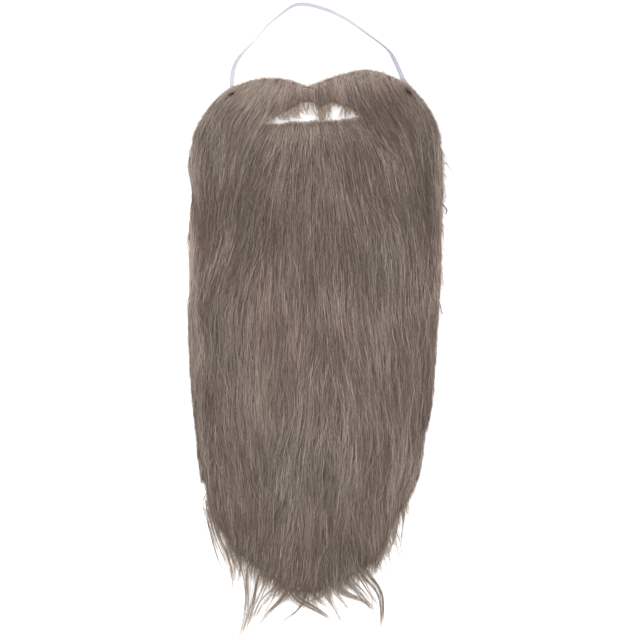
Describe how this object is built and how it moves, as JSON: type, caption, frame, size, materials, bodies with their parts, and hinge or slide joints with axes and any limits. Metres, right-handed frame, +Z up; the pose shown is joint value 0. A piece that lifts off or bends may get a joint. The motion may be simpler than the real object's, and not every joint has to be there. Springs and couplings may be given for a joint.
{
  "type": "fake beard",
  "caption": "Long fake beard of straight deep-pile hair on a knitted backing, with a mouth slit under its moustache strip and a narrow elastic head loop, laid flat.",
  "frame": {"origin": "on the floor under the middle of the beard, measured without its elastic loop", "axes": "+Z up out of the hair, +Y from the tips of the beard to its moustache, +X to the right as seen from above"},
  "size_m": [0.2177, 0.5354, 0.0184],
  "materials": {
    "knit": "fine rib knit in dull grey-brown yarn",
    "hair": "straight grey-brown acrylic hair with a soft low sheen",
    "elastic": "flat woven elastic, white with a faint lilac cast",
    "thread": "dark brown sewing thread"
  },
  "bodies": {
    "root": {"knit_backing": "knit", "fur_pile": "hair", "elastic_strap": "elastic", "tack_left": "thread", "tack_right": "thread"}
  },
  "joints": []
}
